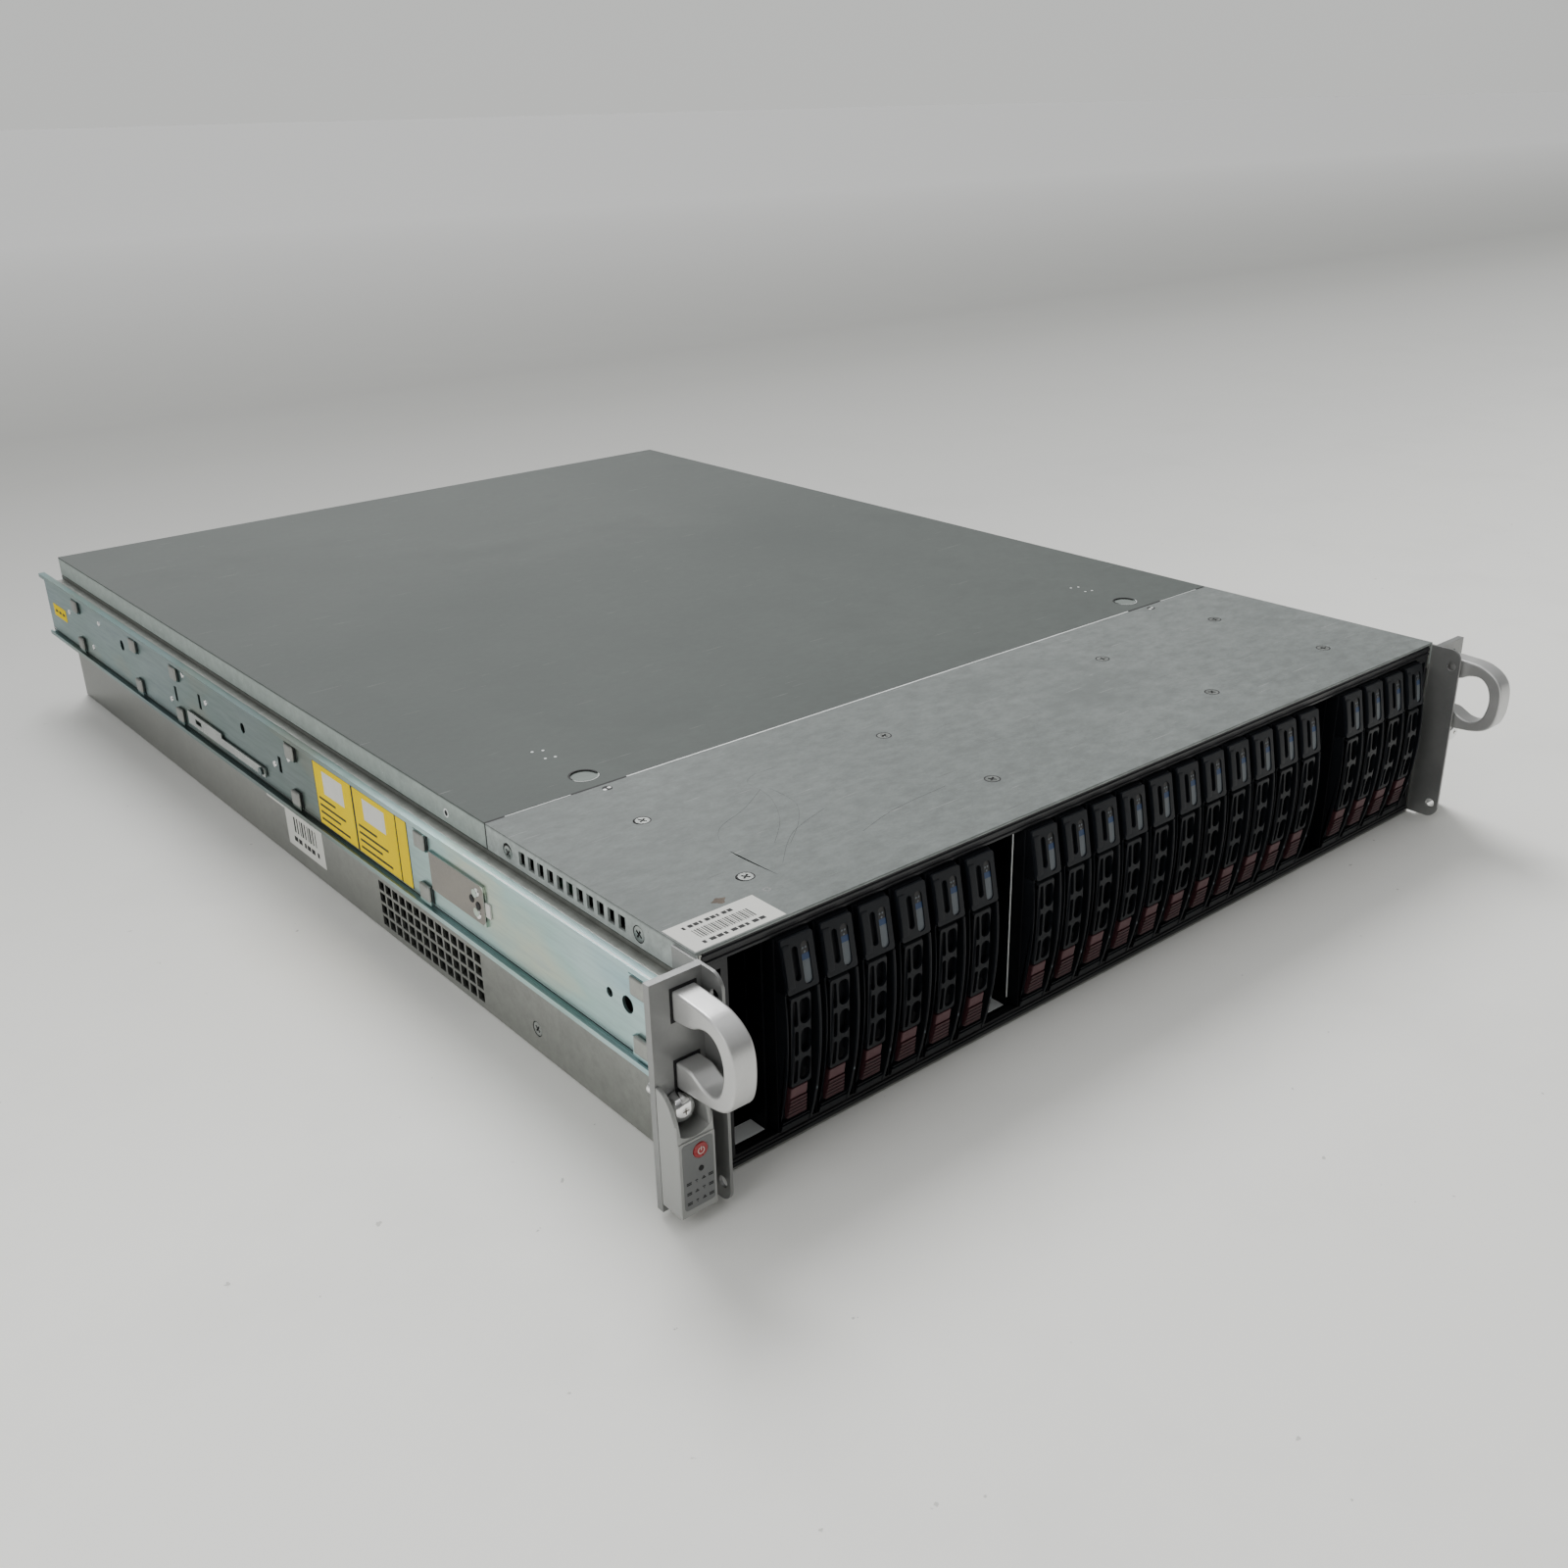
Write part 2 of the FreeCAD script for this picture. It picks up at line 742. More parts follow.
def drive_cage():
    """A base and a ceiling with the dividers standing between them."""
    half = f"{CAGE_SIDE} + divider_wall / 2"
    depth = ("divider_start", "cage_depth")
    floor = block((f"-({half})", half), depth, ("bay_floor - cage_wall", "bay_floor"))
    top = block((f"-({half})", half), depth, ("bay_ceiling", CAGE_TOP))
    plate = block((f"-{CAGE_SIDE} - divider_wall / 2", f"-{CAGE_SIDE} + divider_wall / 2"), depth,
                  ("bay_floor", "bay_ceiling"))
    across = (f"-{CAGE_SIDE} - 1", f"-{CAGE_SIDE} + 1")
    window = block(across, ("divider_start + ladder_front", "divider_start + ladder_front + ladder_deep"),
                   ("bay_floor + ladder_rise", "bay_floor + ladder_rise + ladder_window"))
    ladder = group(repeat(window, copies("ladder_count"), z="ladder_pitch"))
    middle = block(across, ("divider_start + divider_front_web", "cage_depth - divider_rear_web"),
                   ("bay_floor + divider_edge_web", "bay_ceiling - divider_edge_web"))
    divider = cut(plate, [group([ladder, middle])])
    dividers = repeat(divider, copies("bay_count") + 1, x="bay_pitch")
    legs = [block(side_span(side, "cage_leg_inner", "cage_leg_outer"),
                  ("cage_depth - cage_leg_deep", "cage_depth"),
                  (FLOOR, "bay_floor - cage_wall + 0.1")) for side in (-1, 1)]
    posts = [rod("Z", x, y, (f"{CAGE_TOP} - 0.2", f"{COVER_UNDER} - cage_post_gap"),
                 "screw_head_radius + cage_post_wall") for x, y in top_screws()]
    holes = [rod("Z", x, y, ("bay_ceiling - 1", "body_height"), "screw_shank_radius + screw_fit")
             for x, y in top_screws()]
    base = fuse([floor] + legs, "CageBase")
    ceiling = cut(fuse([top] + posts), [group(holes)], "CageCeiling")
    node("drive_cage", group([base, ceiling] + dividers, "DriveCage"))


def frame_shoulder(side):
    """What the front frame leaves free for the tray's folded lip at one side."""
    return block(side_span(side, f"{WALL_IN} - tray_wall - frame_gap", f"{HALF} + 1"),
                 ("-1", "frame_depth + 1"), (f"{LIP_BOTTOM} - tray_wall - frame_gap", "body_height"))


def front_frame():
    """The black frame round the bays: two rails with a slotted column between them at each side."""
    half = f"({HALF} - tray_wall - frame_gap)"
    depth = ("frame_setback", "frame_setback + frame_depth")
    mouth = ("bay_floor + frame_gap", "bay_ceiling - frame_gap")
    low = block((f"-{half}", half), depth, (f"{FLOOR} + 0.1", mouth[0]))
    high = block((f"-{half}", half), depth, (mouth[1], f"{COVER_UNDER} - 0.1"))
    parts = [low, cut(high, [group([frame_shoulder(side) for side in (-1, 1)])], "FrameTop")]
    for side in (-1, 1):
        upright = block(side_span(side, f"{CAGE_SIDE} - divider_wall / 2", half), depth, mouth)
        slot = block(side_span(side, f"{CAGE_SIDE} + column_edge", f"{half} - column_edge"),
                     ("-1", "frame_depth + 1"), ("column_slot_low", "column_slot_low + column_slot_tall"))
        slots = repeat(slot, copies("column_slot_count"), z="column_slot_pitch")
        parts.append(cut(upright, [group(slots + [frame_shoulder(side)])]))
    node("front_frame", group(parts, "FrontFrame"))


def bulge_rod(inset="0"):
    """The round surface that every carrier face follows."""
    return rod("X", ("-bay_pitch", "bay_pitch"), "face_radius - face_bulge", "bulge_height",
               f"face_radius - ({inset})")


def on_bulge(part):
    return common(part, bulge_rod())


FACE = "(face_width / 2)"
FACE_FRONT = "-face_bulge - 1"
PLATE_FRONT = "-face_plate + 0.1"
LEVER_TOP = "(pad_bottom - lever_top_gap)"
BUTTON_TOP = "(lever_bottom - button_gap)"
LEVER_X = ("-lever_left", "lever_right")


def carrier_front():
    """The moulded front of a carrier: pad, fin, lower lip, pivot lug and button guides."""
    deep = (FACE_FRONT, PLATE_FRONT)
    pad = on_bulge(block((f"-{FACE}", FACE), deep, ("pad_bottom", "face_top")))
    fin = on_bulge(block((f"{FACE} - fin_wall", FACE), deep, ("face_bottom", "pad_bottom + 0.1")))
    lip = on_bulge(block((f"-{FACE}", FACE), deep, ("face_bottom", "face_bottom + lip_height")))
    lug = on_bulge(block((f"-{FACE}", f"-{FACE} + pivot_lug"), deep,
                         ("pivot_height - pivot_lug_half", "pad_bottom + 0.1")))
    guide_depth = ("-guide_front", PLATE_FRONT)
    guide_height = ("button_bottom", BUTTON_TOP)
    left = block((f"-{FACE}", "-lever_left - running_gap"), guide_depth, guide_height)
    right = block(("lever_right + running_gap", "lever_right + running_gap + guide_wall"),
                  guide_depth, guide_height)
    return [pad, fin, lip, lug, left, right]


def carrier_tray():
    half = "(bay_pitch / 2 - divider_wall / 2 - tray_gap)"
    body = ("-carrier_start", "carrier_back")
    upright = ("carrier_bottom", "carrier_top")
    wall_left = block((f"-{half}", f"-{half} + carrier_wall"), body, upright)
    wall_right = block((f"{half} - carrier_wall", half), body, upright)
    low = block((f"-{half}", half), body, ("carrier_bottom", "carrier_bottom + carrier_floor"))
    top = block((f"-{half}", half), body, ("carrier_top - carrier_floor", "carrier_top"))
    plate = block((f"-{FACE}", FACE), ("-face_plate", "-running_gap / 2"), ("face_bottom", "face_top"))
    window = block(("-lever_left - lever_room", "lever_right + lever_room"),
                   ("-face_plate - 1", "face_plate + 1"), ("button_bottom - lever_room", LEVER_TOP))
    backing = cut(fuse([wall_left, wall_right, low, top, plate]), [window])
    slot = block(("-pad_slot_left", "-pad_slot_left + pad_slot_wide"), (FACE_FRONT, "-pad_slot_floor"),
                 ("pad_bottom + pad_slot_rise", "face_top - pad_slot_drop"))
    light = block(("light_left", "light_left + light_slot"), (FACE_FRONT, "-light_floor"),
                  ("pad_bottom + light_rise", "face_top - light_drop"))
    pivot = rod("X", ("-bay_pitch / 2", "bay_pitch / 2"), "-pivot_front", "pivot_height",
                "pivot_radius + running_gap")
    return cut(fuse([backing] + carrier_front()), [slot, light, pivot], "CarrierTray")


def carrier_lever():
    """The curved grille that swings out, with its pivot pin."""
    outer = on_bulge(block(LEVER_X, (FACE_FRONT, "-lever_skin"), ("lever_bottom", LEVER_TOP)))
    skin = cut(outer, [bulge_rod("lever_skin")])
    cheeks = [on_bulge(block(span, (FACE_FRONT, "-lever_skin - 1"), ("lever_bottom + 4", LEVER_TOP)))
              for span in (("-lever_left", "-lever_left + lever_cheek"),
                           ("lever_right - lever_cheek", "lever_right"))]
    pin = rod("X", (f"-{FACE} + 0.1", f"{FACE} - 0.2"), "-pivot_front", "pivot_height", "pivot_radius")
    boss = rod("X", LEVER_X, "-pivot_front", "pivot_height", "pivot_radius + pivot_boss")
    upright = ("lever_bottom + grille_edge", "lever_bottom + grille_edge + grille_tall")
    through = (FACE_FRONT, "0")
    narrow_end = "-lever_left + grille_side + grille_narrow"
    narrow = block(("-lever_left + grille_side", narrow_end), through, upright)
    wide = block((f"{narrow_end} + grille_bar", "lever_right - grille_side"), through, upright)
    openings = repeat(narrow, 3, z="grille_pitch") + repeat(wide, 3, z="grille_pitch")
    grille = cut(fuse([skin] + cheeks), [group(openings)])
    return fuse([grille, boss, pin], "CarrierLever")


def carrier_button():
    outer = on_bulge(block(LEVER_X, (FACE_FRONT, "-button_back"), ("button_bottom", BUTTON_TOP)))
    return cut(outer, [bulge_rod("button_skin")], "CarrierButton")


def carrier_drive():
    middle = "(carrier_bottom + carrier_top) / 2"
    return block(("-drive_thick / 2", "drive_thick / 2"), ("drive_start", "drive_start + drive_long"),
                 (f"{middle} - drive_wide / 2", f"{middle} + drive_wide / 2"), "CarrierDrive")


def drive_carriers():
    """Every filled bay's carrier; the one next to the left empty bay is in four nodes."""
    tray = carrier_tray()
    lever = carrier_lever()
    button = carrier_button()
    drive = carrier_drive()
    whole = group([tray, lever, button, drive], "Carrier")
    for number in range(1, copies("bay_count") + 1):
        x = bay_middle(number)
        if number in EMPTY_BAYS:
            continue
        if number == SPLIT_BAY:
            node(f"carrier_tray_{number:02d}", moved(tray, x))
            node(f"carrier_lever_{number:02d}", moved(lever, x))
            node(f"carrier_button_{number:02d}", moved(button, x))
            node(f"hard_drive_{number:02d}", moved(drive, x))
        else:
            node(f"drive_carrier_{number:02d}", moved(whole, x))


def backplane():
    front = "cage_depth + backplane_gap"
    board = block((f"-{CAGE_SIDE}", CAGE_SIDE), (front, f"{front} + backplane_wall"),
                  ("bay_floor + 1", "bay_ceiling - 0.5"))
    first, count = bay_middle(1), copies("bay_count")
    hole = block((f"{first} - backplane_hole / 2", f"{first} + backplane_hole / 2"),
                 (f"{front} - 1", f"{front} + backplane_wall + 1"),
                 ("bay_ceiling - backplane_hole_low", "bay_ceiling - backplane_hole_high"))
    socket = block((f"{first} - connector_wide / 2", f"{first} + connector_wide / 2"),
                   (f"{front} - connector_deep", front),
                   ("bay_floor + connector_rise", "bay_floor + connector_rise + connector_long"))
    holes = group(repeat(hole, count, x="bay_pitch"))
    sockets = repeat(socket, count, x="bay_pitch")
    node("backplane", group([cut(board, [holes])] + sockets, "Backplane"))


# ---------------------------------------------------------------- fans and board

FAN_MIDDLE = "(fan_low + fan_size / 2)"


def fan_x(number):
    """X of a fan's axis, counted from 0 at the left."""
    return f"-body_width / 2 + fan_left + {number} * fan_pitch"


def fan_housing(x):
    """A square frame with a round bore and a four-armed stator across its rear."""
    half = "fan_size / 2"
    frame = block((f"{x} - {half}", f"{x} + {half}"), ("fan_back", "fan_back + fan_depth"),
                  ("fan_low", "fan_low + fan_size"))
    bore = rod("Y", x, ("fan_back - 1", "fan_back + fan_depth + 1"), FAN_MIDDLE, "fan_bore")
    rear = ("fan_back + fan_depth - stator_deep", "fan_back + fan_depth")
    reach, arm = "(fan_bore + 0.5)", "stator_arm / 2"
    stator = rod("Y", x, rear, FAN_MIDDLE, "hub_radius")
    upright = block((f"{x} - {arm}", f"{x} + {arm}"), rear,
                    (f"{FAN_MIDDLE} - {reach}", f"{FAN_MIDDLE} + {reach}"))
    across = block((f"{x} - {reach}", f"{x} + {reach}"), rear,
                   (f"{FAN_MIDDLE} - {arm}", f"{FAN_MIDDLE} + {arm}"))
    return fuse([cut(frame, [bore]), stator, upright, across])


def fan_wall():
    """A bracket across the chassis and the fan housings on it."""
    count = copies("fan_count")
    margin = "fan_size / 2 + fan_bracket_margin"
    rear = "fan_back - fan_bracket_gap"
    plate = block((f"{fan_x(0)} - ({margin})", f"{fan_x(count - 1)} + {margin}"),
                  (f"{rear} - fan_bracket", rear), (FLOOR, "fan_low + fan_size + 1"))
    holes = [rod("Y", fan_x(n), (f"{rear} - fan_bracket - 1", f"{rear} + 1"), FAN_MIDDLE, "fan_bore")
             for n in range(count)]
    housings = [fan_housing(fan_x(n)) for n in range(count)]
    node("fan_wall", group([cut(plate, [group(holes)])] + housings, "FanWall"))


def fan_blade():
    """One pitched blade, standing on a hub whose axis is the Y axis."""
    blade = DOC.addObject("Part::Box", "Blade")
    bind(blade, "Length", "blade_wall")
    bind(blade, "Width", "blade_chord")
    bind(blade, "Height", "blade_reach - hub_radius + 1")
    bind(blade, "Placement.Rotation.Angle", "blade_pitch")
    bind(blade, "Placement.Base.x", "blade_chord * sin(blade_pitch) / 2")
    bind(blade, "Placement.Base.y", "-blade_chord * cos(blade_pitch) / 2")
    bind(blade, "Placement.Base.z", "hub_radius - 1")
    return blade


def fan_rotors():
    """A hub with pitched blades for each fan."""
    start = "fan_back + rotor_front"
    blade = fan_blade()
    for n in range(copies("fan_count")):
        x = fan_x(n)
        hub = rod("Y", x, (start, f"{start} + hub_depth"), FAN_MIDDLE, "hub_radius")
        blades = []
        for number in range(copies("blade_count")):
            turned = group([blade], "TurnedBlade")
            angle = 360.0 * number / copies("blade_count")
            turned.Placement = FreeCAD.Placement(
                FreeCAD.Vector(), FreeCAD.Rotation(FreeCAD.Vector(0, 1, 0), angle)
            )
            blades.append(locate(turned, x, f"{start} + hub_depth / 2", FAN_MIDDLE))
        node(f"fan_rotor_{n + 1}", fuse([hub] + blades, "FanRotor"))


BOARD_LOW = f"({FLOOR} + standoff_height)"
BOARD_TOP = f"({FLOOR} + standoff_height + board_wall)"


def motherboard():
    board = block(("-board_left", "board_wide - board_left"),
                  ("board_start", "board_start + board_long"), (BOARD_LOW, BOARD_TOP))
    node("motherboard", board)


def sink_x(number):
    return f"-board_left + sink_left + {number} * sink_gap"


def cpu_heatsinks():
    sinks = []
    for n in range(2):
        x = sink_x(n)
        depth = ("sink_start", "sink_start + sink_size")
        base = block((f"{x} - sink_size / 2", f"{x} + sink_size / 2"), depth,
                     (BOARD_TOP, f"{BOARD_TOP} + sink_base"))
        first = f"{x} - sink_size / 2 + sink_edge"
        fin = block((first, f"{first} + fin_thick"), depth, (BOARD_TOP, f"{BOARD_TOP} + sink_height"))
        sinks.append(fuse([base] + repeat(fin, copies("sink_fins"), x="fin_pitch")))
    node("cpu_heatsinks", group(sinks, "CpuHeatsinks"))


def memory_modules():
    """Two banks behind the processors, each module standing in its socket."""
    start = "sink_start + sink_size + bank_gap"
    modules = []
    half_bank = copies("module_count") // 2
    for n in range(copies("module_count")):
        bank = n // half_bank
        x = f"{sink_x(bank)} + ({n % half_bank} - ({half_bank} - 1) / 2) * module_pitch"
        stick = block((f"{x} - module_thick / 2", f"{x} + module_thick / 2"),
                      (start, f"{start} + module_long"), (BOARD_TOP, f"{BOARD_TOP} + module_tall"))
        half = "(module_thick / 2 + socket_wall)"
        socket = block((f"{x} - {half}", f"{x} + {half}"),
                       (f"{start} - socket_end", f"{start} + module_long + socket_end"),
                       (BOARD_TOP, f"{BOARD_TOP} + socket_tall"))
        modules.append(fuse([stick, socket]))
    node("memory_modules", group(modules, "MemoryModules"))


def air_shroud():
    """A plastic duct that leads the fans' air over the processors."""
    left = f"{sink_x(0)} - sink_size / 2 - shroud_side_gap"
    right = f"{sink_x(1)} + sink_size / 2 + shroud_side_gap"
    depth = ("shroud_start", "shroud_end")
    top = block((left, right), depth, ("shroud_top - shroud_wall", "shroud_top"))
    sides = [block((x, f"{x} + shroud_wall"), depth, (f"{BOARD_TOP} + 1", "shroud_top"))
             for x in (left, f"{right} - shroud_wall")]
    node("air_shroud", fuse([top] + sides, "AirShroud"))


# ---------------------------------------------------------------- rear

PSU_RIGHT = "(body_width / 2 - tray_wall - psu_side_gap)"
PSU_LEFT = "(body_width / 2 - tray_wall - psu_side_gap - psu_wide)"


def psu_low(level):
    """Z of the underside of a supply; level 0 is the lower one."""
    return f"(psu_low + {level} * (psu_tall + psu_gap + psu_stack_gap))"


def rear_panel():
    half = f"({HALF} - tray_wall - cover_wall - cover_fit - 0.1)"
    plate = block((f"-{half}", half), ("body_depth - tray_wall - 0.2", "body_depth - 0.2"),
                  (FLOOR, f"{COVER_UNDER} - cover_fit"))
    through = ("body_depth - tray_wall - 1", "body_depth + 1")
    tools = [block((f"{PSU_LEFT} - psu_gap", f"{PSU_RIGHT} + psu_gap"), through,
                   (f"{psu_low(level)} - psu_gap", f"{psu_low(level)} + psu_tall + psu_gap"))
             for level in range(2)]
    tools.append(block(("-shield_left + shield_side", "-shield_left + shield_wide - shield_side"),
                       through, ("shield_low + shield_under", "shield_low + shield_tall - shield_over")))
    slot = block(("-slot_left", "-slot_left + slot_wide"), through,
                 ("slot_low + slot_margin_low", "slot_low + slot_tall - slot_margin_high"))
    tools += repeat(slot, copies("slot_count"), x="slot_pitch")
    vent_left = "-shield_left + shield_side + 1"
    vent_low = "shield_low + shield_tall + rear_vent_rise"
    vent = block((vent_left, f"{vent_left} + rear_vent_wide"), through,
                 (vent_low, f"{vent_low} + rear_vent_tall"))
    tools += repeat(vent, copies("rear_vent_count"), x="rear_vent_pitch")
    node("rear_panel", cut(plate, [group(tools)], "RearPanel"))


def slot_covers():
    """The blank brackets over the expansion slots, on the panel's inside."""
    rear = "body_depth - tray_wall - 0.3"
    across = ("-slot_left - bracket_margin", "-slot_left + slot_wide + bracket_margin")
    top = "slot_low + slot_tall"
    cover = block(across, (f"{rear} - bracket_wall", rear), ("slot_low", top))
    tab = block(across, (f"{rear} - bracket_tab", rear), (f"{top} - bracket_wall", top))
    covers = repeat(fuse([cover, tab]), copies("slot_count"), x="slot_pitch")
    node("slot_covers", group(covers, "SlotCovers"))


def io_port(left, kind, low, name):
    """A metal-shelled port on the board's rear edge, open to the rear."""
    rear = "body_depth + port_proud"
    bottom = f"{BOARD_TOP} + {low}"
    right, top = f"{left} + {kind}_wide", f"{bottom} + {kind}_tall"
    shell = block((left, right), (f"{rear} - port_long", rear), (bottom, top), name)
    mouth = block((f"{left} + port_wall", f"{right} - port_wall"),
                  (f"{rear} - {kind}_deep", f"{rear} + 1"),
                  (f"{bottom} + port_wall", f"{top} - port_wall"))
    return cut(shell, [mouth])


def io_connectors():
    """Two stacked serial bus ports, two network ports and two wide shell ports."""
    first = "-shield_left + port_left"
    ports = []
    for n in range(2):
        ports.append(io_port(first, "serial", f"serial_low + {n} * serial_rise", "SerialPort"))
    for kind in ("network", "shell_port"):
        for n in range(2):
            left = f"{first} + {kind}_offset + {n} * {kind}_pitch"
            ports.append(io_port(left, kind, f"{kind}_low", "Port"))
    node("io_connectors", group(ports, "IoConnectors"))


def supply_inlet(low, rear):
    """The walls and the hollow of a supply's mains inlet."""
    left, right = f"{PSU_LEFT} + inlet_left", f"{PSU_LEFT} + inlet_left + inlet_wide"
    bottom = f"{low} + (psu_tall - inlet_tall) / 2"
    top = f"{bottom} + inlet_tall"
    well = block((f"{left} - inlet_wall", f"{right} + inlet_wall"),
                 (f"{rear} - inlet_deep - inlet_wall", rear),
                 (f"{bottom} - inlet_wall", f"{top} + inlet_wall"))
    recess = block((left, right), (f"{rear} - inlet_deep", f"{rear} + 1"), (bottom, top))
    return well, recess


def supply_grip(low, rear):
    """The flat loop that a supply is pulled out by."""
    across = (f"{PSU_LEFT} + grip_left", f"{PSU_LEFT} + grip_left + grip_bar")
    bottom = f"{low} + (psu_tall - grip_tall) / 2"
    outer = block(across, (rear, f"{rear} + grip_reach"), (bottom, f"{bottom} + grip_tall"))
    gap = block((f"{across[0]} - 1", f"{across[1]} + 1"),
                (f"{rear} - 1", f"{rear} + grip_reach - grip_bar"),
                (f"{bottom} + grip_bar", f"{bottom} + grip_tall - grip_bar"))
    return cut(outer, [gap], "SupplyGrip")


def power_supply(level, label):
    """A hollow supply with its inlet, handle, core and air outlets."""
    low = psu_low(level)
    front, rear = "body_depth - psu_long", "body_depth + psu_face"
    body = block((PSU_LEFT, PSU_RIGHT), (front, rear), (low, f"{low} + psu_tall"))
    hollow = block((f"{PSU_LEFT} + psu_wall", f"{PSU_RIGHT} - psu_wall"),
                   (f"{front} + psu_wall", f"{rear} - psu_wall"),
                   (f"{low} + psu_wall", f"{low} + psu_tall - psu_wall"))
    well, recess = supply_inlet(low, rear)
    outlet = block((f"{PSU_RIGHT} - outlet_left", f"{PSU_RIGHT} - outlet_right"),
                   (f"{rear} - psu_wall - 1", f"{rear} + 1"),
                   (f"{low} + outlet_low", f"{low} + outlet_low + outlet_tall"))
    outlets = repeat(outlet, copies("outlet_count"), z="outlet_pitch")
    shell = cut(fuse([cut(body, [hollow]), well]), [recess] + outlets)
    core = block((f"{PSU_LEFT} + core_side", f"{PSU_RIGHT} - core_side"),
                 (f"{front} + core_front", f"{rear} - inlet_deep - core_rear"),
                 (f"{low} + core_low", f"{low} + core_low + core_tall"))
    node(label, group([shell, core, supply_grip(low, rear)], "PowerSupply"))


def power_latch(level, label):
    """The sprung thumb tab that frees a supply."""
    left = f"{PSU_RIGHT} - latch_right - latch_wide"
    across = (left, f"{left} + latch_wide")
    rear = "body_depth + psu_face + running_gap"
    middle = f"{psu_low(level)} + latch_high"
    pad = block(across, (rear, f"{rear} + latch_reach"), (f"{middle} - latch_pad", middle))
    foot = block(across, (rear, f"{rear} + latch_foot"), (f"{middle} - latch_foot_tall", middle))
    node(label, fuse([pad, foot], "PowerLatch"))


# ---------------------------------------------------------------- ears and controls

FLANGE_OUT = "(body_width / 2 + flange_wall)"


def ear_blank(side):
    """A plate across the rack post and a flange along the chassis side."""
    corners = [("-flange_front", "flange_low"), ("flange_back", "flange_low"),
               ("flange_back", "ear_top"), ("-flange_front", "ear_top")]
    start = HALF if side > 0 else f"-{FLANGE_OUT}"
    flange = profile_body("YZ_Plane", corners, "flange_wall", (start, "0", "0"), "Flange")
    round_edges(flange, "YZ_Plane", [corners[0], corners[3]], "flange_corner")
    plate = block(side_span(side, f"{FLANGE_OUT} - 0.1", "ear_width / 2"),
                  ("-ear_front", "-ear_front + ear_wall"), ("ear_bottom", "ear_top"))
    holes = [rod("X", side_span(side, f"{HALF} - 1", f"{FLANGE_OUT} + 1"), "-flange_hole_front", z,
                 "flange_hole") for z in ("flange_hole_top", "flange_hole_low")]
    holes.append(rod("Y", f"{side} * rack_hole_span / 2", ("-ear_front - 1", "0"),
                     "rack_hole_height", "stud_radius + running_gap"))
    return cut(fuse([flange, plate]), [group(holes)], "Ear")


def handle(side):
    """A D-shaped grip whose two arms seat on the ear."""
    start = f"{side} * handle_middle - handle_width / 2"
    outer = [("-ear_front", "handle_low"), ("-handle_reach", "handle_low + 1.6"),
             ("-handle_reach", "handle_high - 1"), ("-ear_front", "handle_high")]
    body = profile_body("YZ_Plane", outer, "handle_width", (start, "0", "0"), "Handle")
    round_edges(body, "YZ_Plane", outer[1:3], "handle_round")
    front = "-handle_reach + handle_rim"
    hole = [
        ("-ear_front + 1", "handle_low + handle_arm"),
        ("-ear_front - 7.5", "handle_low + handle_arm + 0.6"),
        ("-ear_front - 12", "handle_low + handle_rim"),
        (front, "handle_low + handle_rim"),
        (front, "handle_high - handle_rim"),
        ("-ear_front - 12", "handle_high - handle_rim"),
        ("-ear_front - 8", "handle_high - handle_arm + 0.4"),
        ("-ear_front + 1", "handle_high - handle_arm"),
    ]
    gap = profile_body("YZ_Plane", hole, "handle_width + 2", (f"{start} - 1", "0", "0"), "Gap")
    round_edges(gap, "YZ_Plane", hole[3:5], "handle_round - handle_rim")
    return cut(body, [gap], "Grip")


def control_housing():
    """The housing on the left ear, with a pocket for the captive screw above its face."""
    corners = [
        ("-ear_front", "housing_low"), ("-ear_front", "housing_top"),
        ("-ear_front - 3.5", "housing_top - 0.9"),
        ("-housing_front + 4", "housing_shoulder + 12.5"),
        ("-housing_front + 1.4", "housing_shoulder + 6"),
        ("-housing_front", "housing_shoulder"), ("-housing_front", "housing_low"),
    ]
    body = profile_body("YZ_Plane", corners, "ear_width / 2 - housing_inner",
                        ("-ear_width / 2", "0", "0"), "Housing")
    x, inside = "-rack_hole_span / 2", ("-housing_front + 2.4", "-ear_front + 1")
    through = ("-housing_front - 1", "-ear_front + 1")
    room = "(knob_radius + pocket_gap)"
    across = (f"{x} - {room}", f"{x} + {room}")
    tools = [
        rod("Y", x, inside, "rack_hole_height", room),
        block(across, inside, ("rack_hole_height", "housing_top + 1")),
        rod("Y", x, through, f"pocket_sill + {room}", room),
        block(across, through, (f"pocket_sill + {room}", "housing_top + 1")),
        block(("-ear_width / 2 + housing_wall", "-housing_inner + 1"), through,
              ("handle_low - 1.2", "housing_top + 1")),
        block(("-ear_width / 2 + housing_wall", "-housing_inner - housing_wall"), inside,
              ("housing_low + housing_wall", f"rack_hole_height - {room} - 1.2")),
    ]
    for z, radius in (("button_height", "button_radius"), ("reset_height", "reset_radius")):
        tools.append(rod("Y", "-buttons_side", ("-housing_front - 1", "-housing_front + 2.4"), z,
                         f"{radius} + running_gap"))
        tools.append(rod("Y", "-buttons_side", ("-housing_front + 0.8", "-housing_front + 2.5"), z,
                         f"{radius} + collar_step + running_gap"))
    node("control_housing", cut(body, tools, "ControlHousing"))


def control_button(z, radius, proud, label):
    """A round button with a wider collar behind the housing's face."""
    back = "-housing_front + 2.4"
    stem = rod("Y", "-buttons_side", (f"-housing_front - ({proud})", back), z, radius)
    collar = rod("Y", "-buttons_side", (f"{back} - 1.1", back), z, f"{radius} + collar_step")
    node(label, fuse([stem, collar], "ControlButton"))


